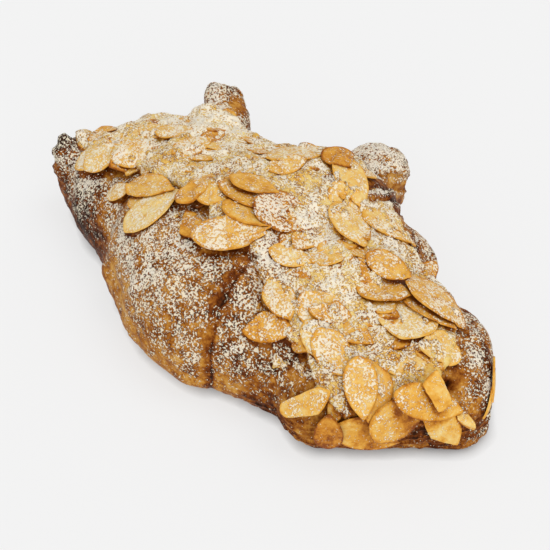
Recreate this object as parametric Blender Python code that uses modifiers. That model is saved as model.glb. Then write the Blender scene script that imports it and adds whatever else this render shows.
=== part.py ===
"""Almond croissant: a twice-baked croissant under a cap of almond cream and sliced almonds.

Frame: +X along the roll, towards its broad end; -Y the side with the long open crust; +Z up.
The origin is at the bottom centre of the whole croissant. Sizes are in millimetres times MM.
"""

import math

import bmesh
import bpy
from mathutils import Matrix, Vector
from mathutils.bvhtree import BVHTree

MM = 0.001

# The roll, in millimetres, before it is centred. Each station of the loft gives its place along
# the roll, its near and far edges, and the height of its top.
STATIONS = (
    (-82, -12, -6, 22.5), (-78, -15, -3, 22.5), (-72, -18, 5.5, 24.5), (-65, -20, 20.5, 29),
    (-55, -23, 29, 31.5), (-44, -27, 31, 34), (-33, -33, 31, 36), (-22, -38.5, 36, 38.5),
    (-11, -41, 43, 39.5), (0, -40.5, 47, 39), (9, -38, 45, 37.5), (18, -34, 39, 35),
    (28, -31, 34, 32), (37, -33, 30, 29.5), (45, -30, 28, 28), (52, -23, 28, 26.5),
    (59, -15.5, 25.5, 24.5), (65, -9, 21, 22), (70, -3.5, 13.5, 18),
    (73, 1, 10, 14),
)
THIN_END_LIFT = 6.0
LIFT_STARTS_AT = -60.0
LIFT_RUN = 20.0
LIFT_POWER = 1.5
WIDEST_AT = 9.0
UNDERSIDE_SINK = 3.0
RING_POINTS = 64
RING_STEP = 0.8
CROWN_POWER = 2.7
FAR_CROWN_POWER = 3.2
BELLY_POWER = 2.2
BODY_VOXEL = 1.6
BODY_TRIANGLES = 3000
TABLE_SIZE = (300.0, 300.0, 40.0)

# Where one band of dough ends on the next: place along the roll, how far the seam leans to -X
# at the near side, which way the lower band lies, and how deep the step is.
SEAMS = ((-47, -7, -1, 2.0), (-70, -3, -1, 1.2), (9, 1, 1, 1.7), (31, 3, 1, 1.6))
SEAM_WIDTH = 1.8
SEAM_REACH = 8.0
BULGE_REACH = 9.0
BULGE_SHARE = 0.35

# Rounded lumps that stand out from the loft: centre, half sizes, turn about +Z, squareness.
LUMPS = (
    ("burnt_tip", (-77.3, -9.9, 18.4), (5.2, 5.5, 7.8), 45, 6.0),
    ("horn_root", (-50, 27.5, 24), (8.5, 8.5, 9.5), 20, 2.4),
    ("horn", (-55.8, 33.6, 26.6), (5.4, 6.4, 6.6), 45, 5.0),
    ("far_lobe", (-8, 47, 15), (10, 14, 14), 0, 2.5),
    ("far_bump", (22, 31, 15), (9, 9, 12), 0, 2.4),
)

# The baked almond cream: its edge seen from above, its thickness and its waves.
CREAM_OUTLINE = (
    (-79, -8), (-57, -13), (-47, -17), (-24, -21), (0, -20), (9, -18), (23, -29), (32, -29),
    (41, -33), (50, -28), (64, -9), (64, 2), (50, 22), (40, 25), (28, 25), (8, 36), (-14, 38),
    (-24, 36), (-34, 30), (-56, 25), (-75, 6), (-80, -3),
)
CREAM_THICKNESS = 2.2
CREAM_WAVES = 0.9
CREAM_WAVE_LENGTH = 12.0
CREAM_GAP = 0.45
CREAM_TRIANGLES = 2600
PRISM_HALF_HEIGHT = 50.0
PRISM_MIDDLE = 60.0

# Sliced almonds that lie on the top, the lowest first: place along and across the roll, turn,
# length, width, how far the ends curl down, and the roll that lifts a side.
TOP_SLICES = (
    (-61, -11, 66, 13, 9, 1.0, 0), (-66, -11, 61, 13, 9, 0.8, 0),
    (-57, 6, 20, 10, 6, 0.5, 6), (-54, -5, 83, 14, 10, 1.0, 4),
    (-51, 9, 35, 12, 7, 0.5, 0), (-48, -17, 18, 14, 9, 0.8, 0),
    (-40, 6, 77, 13, 8, 0.6, 4), (-31, -19, 80, 19, 11, 1.0, 0),
    (-35, -16, 24, 15, 8, 0.8, 0), (-38, -13, 12, 17, 9, 0.8, 0),
    (-23, -9, 88, 13, 7, 0.6, 6), (-16, -18, -20, 12, 7, 1.2, 12),
    (-3, -15, 42, 20, 10, 0.8, 0), (-3, -6, 16, 18, 9, 0.8, 0),
    (-17, -6, 42, 13, 9, 0.6, 0), (-10, -2, 0, 19, 8, 0.6, 4),
    (-10, 2, 19, 15, 8, 0.6, 4), (3, 1, 26, 18, 13, 1.0, 0),
    (-14, 24, 67, 20, 10, 1.2, 0), (-11, 16, 70, 12, 7, 0.6, 0),
    (-3, 30, 4, 12, 9, 1.0, 0), (5, 26, -28, 19, 9, 1.2, 0),
    (16, 14, -18, 17, 10, 0.8, 0), (13, -7, 30, 12, 8, 0.6, 0),
    (21, -25, 13, 15, 9, 1.0, 0), (20, -18, -20, 14, 9, 0.8, 0),
    (27, -8, 46, 14, 8, 0.6, 0), (30, -15, -23, 14, 9, 0.6, 0),
    (35, -20, -26, 12, 6, 0.6, 4), (32, -11, 40, 13, 9, 0.6, 0),
    (41, -19, -13, 15, 9, 0.6, 0), (22, 24, 23, 17, 10, 1.2, 0),
    (47, 3, 34, 16, 14, 1.0, 0), (58, 5, 41, 12, 10, 0.6, 0),
    (47, 12, 4, 20, 10, 1.0, 0), (37, 5, 38, 15, 9, 0.8, 0),
    (48, 15, 5, 21, 12, 1.2, 0), (33, 11, 13, 15, 10, 0.8, 0),
)

# Those that hang on the slanted broad end: along its edge, up it, then as above.
END_SLICES = (
    (-8, -6, -18, 15, 9, 0.8, 0), (-19, -4, 93, 13, 8, 0.6, 0),
    (-25, 5, 24, 16, 9, 0.8, 0), (11, -6, -50, 13, 9, 0.6, 0),
    (-7, 6, -100, 15, 10, 0.8, 0), (-10, 8, -90, 18, 11, 0.8, 0),
    (0, -1, 45, 17, 12, 0.8, 0), (8, 2, -23, 21, 9, 0.8, 0),
    (11, 5, -33, 13, 10, 0.6, 0),
)
END_MIDDLE = (58, -12, 16)
END_EDGE = (0.61, 0.79, 0.0)
END_TILT = 42.0

SLICE_THICKNESS = 0.85
SLICE_GAP = 0.32
SLICE_TAPER = 0.28
SLICE_CUP = 0.25
SLICE_LONG_CUTS = 5
SLICE_CROSS_CUTS = 2
SUPPORT_REACH = 0.35
RAY_START = 100.0
DROP_HEIGHT = 12.0
NEAR_MARGIN = 2.0
LIFT_STEP = 0.06
TILT_STEPS = (8.0, 4.0, 2.0)
TILT_LIMIT = 26.0


def clear_scene():
    for obj in list(bpy.data.objects):
        bpy.data.objects.remove(obj, do_unlink=True)


def collection(name):
    made = bpy.data.collections.new(name)
    bpy.context.scene.collection.children.link(made)
    return made


def material(name, colour, roughness):
    made = bpy.data.materials.new(name)
    made.use_nodes = True
    shader = made.node_tree.nodes["Principled BSDF"]
    shader.inputs["Base Color"].default_value = (*colour, 1)
    shader.inputs["Roughness"].default_value = roughness
    shader.inputs["Metallic"].default_value = 0.0
    return made


def new_object(name, mesh, group):
    obj = bpy.data.objects.new(name, mesh)
    group.objects.link(obj)
    return obj


def evaluated_mesh(obj):
    """The object's mesh with its modifiers applied, in world space."""
    bpy.context.view_layer.update()
    graph = bpy.context.evaluated_depsgraph_get()
    mesh = bpy.data.meshes.new_from_object(obj.evaluated_get(graph))
    mesh.transform(obj.matrix_world)
    return mesh


def modifier(obj, kind, **settings):
    made = obj.modifiers.new(kind.title(), kind)
    for key, value in settings.items():
        setattr(made, key, value)
    return made


def triangle_count(mesh):
    return sum(len(face.vertices) - 2 for face in mesh.polygons)


def signed_power(value, power):
    return math.copysign(abs(value) ** power, value)


def station_at(x):
    """The near edge, far edge and top at x, on a smooth curve through the stations."""
    last = len(STATIONS) - 1
    i = 0
    while i < last - 1 and x > STATIONS[i + 1][0]:
        i += 1
    a = STATIONS[i]
    b = STATIONS[i + 1]
    before = STATIONS[max(i - 1, 0)]
    after = STATIONS[min(i + 2, last)]
    span = b[0] - a[0]
    t = (x - a[0]) / span
    values = []
    for k in (1, 2, 3):
        slope_a = (b[k] - before[k]) / (b[0] - before[0])
        slope_b = (after[k] - a[k]) / (after[0] - a[0])
        start = (2 * t ** 3 - 3 * t ** 2 + 1) * a[k] + (t ** 3 - 2 * t ** 2 + t) * span * slope_a
        end = (3 * t ** 2 - 2 * t ** 3) * b[k] + (t ** 3 - t ** 2) * span * slope_b
        values.append(start + end)
    return values


def seam_relief(x, across):
    """How far the skin stands out or sinks beside the seams between the bands."""
    relief = 0.0
    for place, lean, side, depth in SEAMS:
        t = (x - place - lean * across) * side
        step = 0.5 + 0.5 * math.tanh(t / SEAM_WIDTH)
        relief -= step * depth * math.exp(-(t / SEAM_REACH) ** 2)
        relief += (1 - step) * BULGE_SHARE * depth * math.exp(-(t / BULGE_REACH) ** 2)
    return relief


def ring(x):
    """One cross-section: a crowned top, sides widest low down, and a tucked-in underside."""
    near, far, top = station_at(x)
    middle = (near + far) / 2
    half = (far - near) / 2
    lift = THIN_END_LIFT * max(0, (LIFT_STARTS_AT - x) / LIFT_RUN) ** LIFT_POWER
    points = []
    for i in range(RING_POINTS):
        angle = 2 * math.pi * i / RING_POINTS
        swell = seam_relief(x, math.cos(angle))
        if math.sin(angle) < 0:
            power = BELLY_POWER
            reach = WIDEST_AT + UNDERSIDE_SINK
        else:
            power = FAR_CROWN_POWER if math.cos(angle) > 0 else CROWN_POWER
            reach = top - WIDEST_AT - lift + swell
        across = signed_power(math.cos(angle), 2 / power)
        up = reach * signed_power(math.sin(angle), 2 / power)
        point = Vector((x, middle + (half + swell) * across, WIDEST_AT + lift + up))
        points.append(point * MM)
    return points


def roll_loft(group):
    """The roll as one loft through its cross-sections, closed at both ends."""
    bm = bmesh.new()
    first = STATIONS[0][0]
    length = STATIONS[-1][0] - first
    count = round(length / RING_STEP)
    rings = []
    for i in range(count + 1):
        section = ring(first + length * i / count)
        rings.append([bm.verts.new(point) for point in section])
    for a, b in zip(rings, rings[1:]):
        for i in range(RING_POINTS):
            j = (i + 1) % RING_POINTS
            bm.faces.new((a[i], a[j], b[j], b[i]))
    bm.faces.new(reversed(rings[0]))
    bm.faces.new(rings[-1])
    bmesh.ops.recalc_face_normals(bm, faces=bm.faces)
    mesh = bpy.data.meshes.new("roll_loft")
    bm.to_mesh(mesh)
    bm.free()
    return new_object("roll_loft", mesh, group)


def rounded_block(name, centre, half, turn, squareness, group):
    """A sphere squared off by a superellipsoid's power, at its size, place and turn."""
    mesh = bpy.data.meshes.new(name)
    bm = bmesh.new()
    bmesh.ops.create_uvsphere(bm, u_segments=48, v_segments=32, radius=1.0)
    for vert in bm.verts:
        size = sum(abs(c) ** squareness for c in vert.co) ** (1 / squareness)
        vert.co = Vector(c / size * h * MM for c, h in zip(vert.co, half))
    bm.to_mesh(mesh)
    bm.free()
    obj = new_object(name, mesh, group)
    obj.location = Vector(centre) * MM
    obj.rotation_euler.z = math.radians(turn)
    return obj


def joined_mesh(name, objects):
    """The world-space meshes of the objects, in one mesh."""
    bm = bmesh.new()
    for obj in objects:
        mesh = obj.data.copy()
        mesh.transform(obj.matrix_world)
        bm.from_mesh(mesh)
        bpy.data.meshes.remove(mesh)
    mesh = bpy.data.meshes.new(name)
    bm.to_mesh(mesh)
    bm.free()
    return mesh


def thinned(obj, triangles):
    """The object's mesh after its modifiers, collapsed to about so many triangles."""
    count = triangle_count(evaluated_mesh(obj))
    modifier(obj, "DECIMATE", ratio=triangles / count)
    return evaluated_mesh(obj)


def table_block(group):
    """What the flat underside is cut with."""
    mesh = bpy.data.meshes.new("table_block")
    bm = bmesh.new()
    bmesh.ops.create_cube(bm, size=1.0)
    bm.to_mesh(mesh)
    bm.free()
    obj = new_object("table_block", mesh, group)
    obj.scale = Vector(TABLE_SIZE) * MM
    obj.location.z = -TABLE_SIZE[2] / 2 * MM
    obj.hide_render = True
    obj.display_type = "WIRE"
    return obj


def croissant(parts, cutters):
    blocks = [roll_loft(cutters)]
    blocks += [rounded_block(*lump, cutters) for lump in LUMPS]
    bpy.context.view_layer.update()
    skin = new_object("skin", joined_mesh("skin", blocks), cutters)
    modifier(skin, "REMESH", mode="VOXEL", voxel_size=BODY_VOXEL * MM)
    modifier(skin, "SMOOTH", factor=0.5, iterations=3)
    mesh = thinned(skin, BODY_TRIANGLES)
    for block in blocks + [skin]:
        bpy.data.objects.remove(block, do_unlink=True)
    obj = new_object("croissant", mesh, parts)
    modifier(obj, "BOOLEAN", operation="DIFFERENCE", object=table_block(cutters))
    obj.data = evaluated_mesh(obj)
    obj.modifiers.clear()
    return obj


def grown(obj, distance, group):
    """A copy of the object that stands out from it by a distance."""
    copy = new_object(obj.name + "_grown", obj.data.copy(), group)
    modifier(copy, "DISPLACE", strength=distance * MM, mid_level=0.0)
    copy.hide_render = True
    copy.display_type = "WIRE"
    return copy


def cream_prism(group):
    """The cream's outline seen from above, as a tall closed block."""
    curve = bpy.data.curves.new("cream_prism", "CURVE")
    curve.dimensions = "2D"
    curve.fill_mode = "BOTH"
    curve.extrude = PRISM_HALF_HEIGHT * MM
    spline = curve.splines.new("NURBS")
    spline.points.add(len(CREAM_OUTLINE) - 1)
    for point, (x, y) in zip(spline.points, CREAM_OUTLINE):
        point.co = (x * MM, y * MM, 0, 1)
    spline.use_cyclic_u = True
    spline.order_u = 3
    spline.resolution_u = 3
    source = new_object("cream_outline", curve, group)
    mesh = evaluated_mesh(source)
    bpy.data.objects.remove(source, do_unlink=True)
    bm = bmesh.new()
    bm.from_mesh(mesh)
    bmesh.ops.remove_doubles(bm, verts=bm.verts, dist=1e-6)
    bmesh.ops.translate(bm, verts=bm.verts, vec=(0, 0, PRISM_MIDDLE * MM))
    bmesh.ops.recalc_face_normals(bm, faces=bm.faces)
    bm.to_mesh(mesh)
    bm.free()
    obj = new_object("cream_prism", mesh, group)
    obj.hide_render = True
    obj.display_type = "WIRE"
    return obj


def almond_cream(body, parts, cutters):
    """A wavy layer that follows the roll's top inside its outline, just clear of the crust."""
    outer = grown(body, CREAM_GAP + CREAM_THICKNESS, cutters)
    waves = bpy.data.textures.new("cream_waves", "CLOUDS")
    waves.noise_scale = CREAM_WAVE_LENGTH * MM
    modifier(outer, "DISPLACE", strength=CREAM_WAVES * MM, mid_level=0.5, texture=waves)
    modifier(outer, "REMESH", mode="VOXEL", voxel_size=BODY_VOXEL * MM)
    modifier(outer, "SMOOTH", factor=0.5, iterations=2)
    obj = new_object("almond_cream", thinned(outer, CREAM_TRIANGLES), parts)
    modifier(obj, "BOOLEAN", operation="DIFFERENCE", object=grown(body, CREAM_GAP, cutters))
    modifier(obj, "BOOLEAN", operation="INTERSECT", object=cream_prism(cutters))
    obj.data = evaluated_mesh(obj)
    obj.modifiers.clear()
    return obj


def slice_mesh(length, width, curl):
    """A thin pointed oval with its ends bent down, lying flat at the origin."""
    bm = bmesh.new()
    bmesh.ops.create_grid(
        bm, x_segments=SLICE_LONG_CUTS, y_segments=SLICE_CROSS_CUTS, size=1.0
    )
    for vert in bm.verts:
        u, v = vert.co.x, vert.co.y
        x = u * math.sqrt(1 - v * v / 2)
        y = v * math.sqrt(1 - u * u / 2) * (1 - SLICE_TAPER * x)
        z = -curl * (x * x + SLICE_CUP * y * y)
        vert.co = Vector((x * length / 2, y * width / 2, z)) * MM
    mesh = bpy.data.meshes.new("almond_slice")
    bm.to_mesh(mesh)
    bm.free()
    return mesh


def sample_points(mesh):
    """The mesh's corners, edge middles and face middles."""
    corners = [vert.co.copy() for vert in mesh.vertices]
    middles = [(corners[edge.vertices[0]] + corners[edge.vertices[1]]) / 2 for edge in mesh.edges]
    return corners + middles + [face.center.copy() for face in mesh.polygons]


def mesh_tree(mesh, place):
    corners = [place @ vert.co for vert in mesh.vertices]
    return BVHTree.FromPolygons(corners, [tuple(face.vertices) for face in mesh.polygons])


class Heap:
    """The crust, the cream and the slices that lie on them so far."""

    def __init__(self, base):
        self.base_count = len(base)
        self.trees = [mesh_tree(mesh, Matrix()) for mesh in base]
        self.points = [point for mesh in base for point in sample_points(mesh)]

    def add(self, mesh, place):
        self.trees.append(mesh_tree(mesh, place))
        self.points += [place @ point for point in sample_points(mesh)]

    def met(self, trees, start, direction):
        """The distance to the first thing met from start along the direction."""
        found = [tree.ray_cast(start, direction)[3] for tree in trees]
        return min((d for d in found if d is not None), default=math.inf)

    def base_point(self, start, direction, otherwise=None):
        """The first point of the crust or the cream met along the direction."""
        distance = self.met(self.trees[:self.base_count], start, direction)
        return start + direction * distance if distance < math.inf else otherwise

    def fall(self, mesh, points, place, out, near):
        """How far the placed mesh can move against out before it meets the heap."""
        downwards = min(self.met(self.trees, place @ point, -out) for point in points)
        own = mesh_tree(mesh, place)
        return min(downwards, min(self.met([own], point, out) for point in near))

    def clearance(self, mesh, points, place, near):
        """The smallest distance between the placed mesh and the heap."""
        best = min(tree.find_nearest(place @ p)[3] for tree in self.trees for p in points)
        own = mesh_tree(mesh, place)
        return min(best, min(own.find_nearest(point)[3] for point in near))


def surface_frame(heap, start, axes, length, width, turn):
    """A point of the crust or cream under a slice, and a frame that lies along it."""
    out = axes.col[2]
    spin = Matrix.Rotation(math.radians(turn), 3, "Z")
    along = axes @ spin @ Vector((length, 0, 0)) * SUPPORT_REACH * MM
    aside = axes @ spin @ Vector((0, width, 0)) * SUPPORT_REACH * MM
    middle = heap.base_point(start, -out)
    steps = (along, -along, aside, -aside)
    hits = [heap.base_point(start + step, -out, middle + step) for step in steps]
    forward = (hits[0] - hits[1]).normalized()
    normal = forward.cross(hits[2] - hits[3]).normalized()
    frame = Matrix((forward, normal.cross(forward), normal)).transposed()
    return middle, frame


def tilted(frame, tip, roll):
    tipped = frame @ Matrix.Rotation(math.radians(tip), 3, "Y")
    return (tipped @ Matrix.Rotation(math.radians(roll), 3, "X")).to_4x4()


def settle(heap, mesh, origin, axes, row):
    """The place of a slice that has come to rest: tilted to where its middle lies lowest."""
    u, v, turn, length, width, curl, roll = row
    out = axes.col[2]
    start = origin + axes @ Vector((u, v, 0)) * MM + out * RAY_START * MM
    middle, frame = surface_frame(heap, start, axes, length, width, turn)
    points = sample_points(mesh)
    reach = (length / 2 + NEAR_MARGIN) * MM
    near = []
    for point in heap.points:
        shift = point - middle
        if (shift - out * shift.dot(out)).length < reach and shift.dot(out) > -reach:
            near.append(point)
    high = Matrix.Translation(middle + out * DROP_HEIGHT * MM)
    best = (0.0, 0.0)
    longest = heap.fall(mesh, points, high @ tilted(frame, *best), out, near)
    for step in TILT_STEPS:
        for change in ((step, 0), (-step, 0), (0, step), (0, -step)):
            tilt = (best[0] + change[0], best[1] + change[1])
            fall = heap.fall(mesh, points, high @ tilted(frame, *tilt), out, near)
            if fall > longest and max(map(abs, tilt)) < TILT_LIMIT:
                best = tilt
                longest = fall
    rest = tilted(frame, best[0], best[1] + roll)
    longest = heap.fall(mesh, points, high @ rest, out, near)
    place = Matrix.Translation(-out * longest) @ high @ rest
    while heap.clearance(mesh, points, place, near) < SLICE_GAP * MM:
        place = Matrix.Translation(out * LIFT_STEP * MM) @ place
    return place


def almond_slices(body, cream, parts):
    heap = Heap([body.data, cream.data])
    edge = Vector(END_EDGE).normalized()
    level = Vector((edge.y, -edge.x, 0))
    tilt = math.radians(END_TILT)
    out = level * math.cos(tilt) + Vector((0, 0, 1)) * math.sin(tilt)
    end_axes = Matrix((edge, out.cross(edge), out)).transposed()
    sets = (
        (TOP_SLICES, Vector((0, 0, 0)), Matrix.Identity(3)),
        (END_SLICES, Vector(END_MIDDLE) * MM, end_axes),
    )
    made = []
    for rows, origin, axes in sets:
        for row in rows:
            length, width, curl = row[3:6]
            flat = new_object("slice", slice_mesh(length, width, curl), parts)
            modifier(flat, "SOLIDIFY", thickness=SLICE_THICKNESS * MM, offset=0.0)
            mesh = evaluated_mesh(flat)
            bpy.data.objects.remove(flat, do_unlink=True)
            place = settle(heap, mesh, origin, axes, row)
            heap.add(mesh, place)
            mesh.transform(place)
            made.append(new_object(f"almond_slice_{len(made) + 1:02d}", mesh, parts))
    return made


def centre_on_origin(parts, cutters):
    """Shift everything so that the origin is at the bottom centre of the finished meshes."""
    corners = [vert.co for obj in parts.objects for vert in obj.data.vertices]
    low = Vector(min(c[k] for c in corners) for k in range(3))
    high = Vector(max(c[k] for c in corners) for k in range(3))
    shift = Vector((-(low.x + high.x) / 2, -(low.y + high.y) / 2, -low.z))
    for obj in parts.objects:
        obj.data.transform(Matrix.Translation(shift))
    for obj in cutters.objects:
        obj.location += shift


def main():
    clear_scene()
    parts = collection("almond_croissant")
    cutters = collection("cutters")
    body = croissant(parts, cutters)
    cream = almond_cream(body, parts, cutters)
    slices = almond_slices(body, cream, parts)
    centre_on_origin(parts, cutters)
    body.data.materials.append(material("baked_crust", (0.36, 0.14, 0.035), 0.55))
    cream.data.materials.append(material("almond_cream", (0.72, 0.5, 0.24), 0.7))
    toasted = material("toasted_almond", (0.78, 0.5, 0.2), 0.5)
    for piece in slices:
        piece.data.materials.append(toasted)


main()
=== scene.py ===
import math
import random

import bpy
import numpy as np
from mathutils import Matrix, Vector, noise
from mathutils.bvhtree import BVHTree


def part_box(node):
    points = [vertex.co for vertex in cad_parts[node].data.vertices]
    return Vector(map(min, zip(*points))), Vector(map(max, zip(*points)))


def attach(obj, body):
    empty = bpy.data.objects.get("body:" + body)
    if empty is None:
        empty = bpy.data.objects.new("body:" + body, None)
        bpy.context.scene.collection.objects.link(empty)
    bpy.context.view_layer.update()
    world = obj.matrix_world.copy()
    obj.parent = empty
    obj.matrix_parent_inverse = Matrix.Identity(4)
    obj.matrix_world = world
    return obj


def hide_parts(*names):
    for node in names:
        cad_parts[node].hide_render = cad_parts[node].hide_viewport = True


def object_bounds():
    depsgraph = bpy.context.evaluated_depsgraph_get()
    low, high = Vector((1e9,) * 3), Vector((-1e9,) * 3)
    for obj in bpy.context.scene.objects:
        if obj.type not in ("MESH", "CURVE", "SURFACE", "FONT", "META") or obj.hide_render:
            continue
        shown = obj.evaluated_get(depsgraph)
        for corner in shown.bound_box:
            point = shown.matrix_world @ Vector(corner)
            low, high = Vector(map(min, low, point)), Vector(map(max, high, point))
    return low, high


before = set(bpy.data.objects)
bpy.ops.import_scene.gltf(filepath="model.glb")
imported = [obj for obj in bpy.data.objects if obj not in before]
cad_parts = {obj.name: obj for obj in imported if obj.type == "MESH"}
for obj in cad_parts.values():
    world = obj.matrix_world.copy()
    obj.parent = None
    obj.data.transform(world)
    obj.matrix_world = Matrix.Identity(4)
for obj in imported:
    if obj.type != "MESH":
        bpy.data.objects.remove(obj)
cadLow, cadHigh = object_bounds()
mm = 0.001
print("frame loaded")


def pickOnly(piece):
    bpy.ops.object.select_all(action="DESELECT")
    piece.select_set(True)
    bpy.context.view_layer.objects.active = piece


def applyModifier(piece, kind, **settings):
    pickOnly(piece)
    modifier = piece.modifiers.new(kind.title(), kind)
    for name, value in settings.items():
        setattr(modifier, name, value)
    bpy.ops.object.modifier_apply(modifier=modifier.name)


def newPiece(name, mesh):
    piece = bpy.data.objects.new(name, mesh)
    bpy.context.scene.collection.objects.link(piece)
    return piece


def mergedCopy(nodeName, pieceName):
    # a frame node's mesh is loose triangles, so its copy is welded before it is worked on
    piece = newPiece(pieceName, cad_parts[nodeName].data.copy())
    pickOnly(piece)
    bpy.ops.object.mode_set(mode="EDIT")
    bpy.ops.mesh.select_all(action="SELECT")
    bpy.ops.mesh.remove_doubles(threshold=0.02 * mm)
    bpy.ops.object.mode_set(mode="OBJECT")
    return piece


def joined(pieces, name):
    bpy.ops.object.select_all(action="DESELECT")
    for piece in pieces:
        piece.select_set(True)
    bpy.context.view_layer.objects.active = pieces[0]
    bpy.ops.object.join()
    whole = bpy.context.active_object
    whole.name = name
    return whole


def pointsOf(mesh, field="co"):
    flat = np.empty(len(mesh.vertices) * 3)
    mesh.vertices.foreach_get(field, flat)
    return flat.reshape(-1, 3)


def normalsOf(mesh):
    return pointsOf(mesh, "normal")


def putPoints(mesh, points):
    mesh.vertices.foreach_set("co", np.ascontiguousarray(points, dtype=np.float32).ravel())
    mesh.update()


def paint(mesh, name, values):
    layer = mesh.attributes.get(name) or mesh.attributes.new(name, "FLOAT", "POINT")
    layer.data.foreach_set("value", np.clip(values, 0, 1).astype(np.float32))


def painting(mesh, name):
    values = np.empty(len(mesh.vertices))
    mesh.attributes[name].data.foreach_get("value", values)
    return values


def step(low, high, value):
    t = np.clip((value - low) / (high - low), 0, 1)
    return t * t * (3 - 2 * t)


def lumps(points, size, seed=0.0, octaves=1):
    # soft noise in -1..1 at every point, with lumps about size millimetres apart
    shift = Vector((seed * 3.1, -seed * 5.7, seed * 7.3))
    scale = 1 / (np.array(size) * mm * np.ones(3))
    scaled = (points * scale).tolist()
    if octaves == 1:
        return np.array([noise.noise(Vector(p) + shift) for p in scaled])
    return np.array([noise.fractal(Vector(p) + shift, 0.9, 2.1, octaves) for p in scaled])


def spots(points, rows):
    # the sum of soft round patches, each x, y, z, radius in millimetres, then its strength
    total = np.zeros(len(points))
    for x, y, z, radius, strength in rows:
        away = np.linalg.norm(points / mm - (x, y, z), axis=1)
        total += strength * np.exp(-(away / radius) ** 2)
    return total


def treeOf(*meshes):
    corners, faces = [], []
    for mesh in meshes:
        start = len(corners)
        corners += [v.co.copy() for v in mesh.vertices]
        faces += [tuple(i + start for i in polygon.vertices) for polygon in mesh.polygons]
    return BVHTree.FromPolygons(corners, faces)


def turned(along, side, out, spot):
    return Matrix((
        (along.x, side.x, out.x, spot.x), (along.y, side.y, out.y, spot.y),
        (along.z, side.z, out.z, spot.z), (0, 0, 0, 1),
    ))


class Signal:
    # wraps a socket of a material's tree, so that it can stand in sums
    def __init__(self, recipe, socket):
        self.recipe = recipe
        self.socket = socket

    def math(self, operation, first, second):
        return self.recipe.node("ShaderNodeMath", {"operation": operation}, {0: first, 1: second})

    def __add__(self, other):
        return self.math("ADD", self, other)

    def __radd__(self, other):
        return self.math("ADD", other, self)

    def __sub__(self, other):
        return self.math("SUBTRACT", self, other)

    def __rsub__(self, other):
        return self.math("SUBTRACT", other, self)

    def __mul__(self, other):
        return self.math("MULTIPLY", self, other)

    def __rmul__(self, other):
        return self.math("MULTIPLY", other, self)

    def __pow__(self, other):
        return self.math("POWER", self, other)

    def between(self, low, high):
        # a smooth step from 0 at low to 1 at high
        return self.recipe.node(
            "ShaderNodeMapRange", {"interpolation_type": "SMOOTHSTEP"},
            {"Value": self, "From Min": low, "From Max": high},
        )


class Recipe:
    # one material's node tree
    def __init__(self, name, colour):
        self.material = bpy.data.materials.new(name)
        self.material.use_nodes = True
        self.material.diffuse_color = (*colour, 1)
        self.nodes = self.material.node_tree.nodes
        self.links = self.material.node_tree.links
        self.shader = self.nodes["Principled BSDF"]
        self.spot = self.node("ShaderNodeTexCoord", output="Object")

    def node(self, kind, settings=None, given=None, output=0):
        made = self.nodes.new(kind)
        for name, value in (settings or {}).items():
            if name == "stops":
                self.fillRamp(made.color_ramp, value)
            else:
                setattr(made, name, value)
        for name, value in (given or {}).items():
            self.feed(made.inputs[name], value)
        return Signal(self, made.outputs[output])

    def fillRamp(self, ramp, stops):
        while len(ramp.elements) < len(stops):
            ramp.elements.new(0.5)
        for element, (place, colour) in zip(ramp.elements, stops):
            element.position = place
            element.color = (*colour, 1)

    def feed(self, socket, value):
        if isinstance(value, Signal):
            self.links.new(value.socket, socket)
        else:
            socket.default_value = value

    def painted(self, name):
        return self.node("ShaderNodeAttribute", {"attribute_name": name}, output="Fac")

    def speckle(self, size, detail=2.0, roughness=0.5):
        return self.node("ShaderNodeTexNoise", None, {
            "Vector": self.spot, "Scale": 1 / (size * mm), "Detail": detail, "Roughness": roughness,
        })

    def upness(self):
        facing = self.node("ShaderNodeNewGeometry", output="Normal")
        return self.node("ShaderNodeSeparateXYZ", None, {"Vector": facing}, "Z")

    def ramp(self, factor, *stops):
        return self.node("ShaderNodeValToRGB", {"stops": stops}, {"Fac": factor}, "Color")

    def blend(self, factor, first, second):
        return self.node(
            "ShaderNodeMix", {"data_type": "RGBA"}, {0: factor, 6: first, 7: second}, 2
        )

    def bump(self, height, distance):
        return self.node("ShaderNodeBump", None, {
            "Height": height, "Distance": distance * mm, "Strength": 0.8,
        }, "Normal")

    def finish(self, colour, roughness, normal=None, **uniform):
        self.feed(self.shader.inputs["Base Color"], colour)
        self.feed(self.shader.inputs["Roughness"], roughness)
        if normal is not None:
            self.feed(self.shader.inputs["Normal"], normal)
        for name, value in uniform.items():
            self.shader.inputs[name.replace("_", " ")].default_value = value
        return self.material


powderLook = {
    "speck": (0.64, 2, 0.6), "patch": (4.0, 2, 0.5), "patchStrength": 1.25,     # size, detail, roughness
    "slope": 0.7, "most": 0.68, "swell": 0.36,      # the thickest dust, and how far it closes the specks
    "cover": (0.64, 0.71), "speckShadow": (0.58, 0.65),    # noise levels where a speck and the painted shadow round it start
    "shaded": (0.05, 0.35), "heavy": (0.45, 0.95),  # dust where the painted shadows show and where it whitens
    "thin": (0.89, 0.80, 0.61, 1), "thick": (0.92, 0.88, 0.80, 1),
}


class Powder:
    # where sifted icing sugar hides the surface: crisp specks that close up as dust rises, with a painted
    # shadow round each speck
    def __init__(self, recipe, dust, hangs=-0.45, shelter=0.7):
        look = powderLook
        specks = recipe.speckle(*look["speck"])
        patches = recipe.speckle(*look["patch"])
        level = recipe.upness().between(hangs, hangs + look["slope"])
        held = level * recipe.painted("open").between(0.05, shelter)
        wanted = (dust + (patches - 0.5) * look["patchStrength"]) * held
        wanted = wanted.math("MINIMUM", wanted, look["most"])
        raised = specks + wanted * look["swell"]
        self.cover = raised.between(*look["cover"])
        # painted shadow in a ring round each speck
        speckShadow = raised.between(*look["speckShadow"]) - self.cover
        self.shade = speckShadow * wanted.between(*look["shaded"])
        self.tint = recipe.blend(wanted.between(*look["heavy"]), look["thin"], look["thick"])


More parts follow.
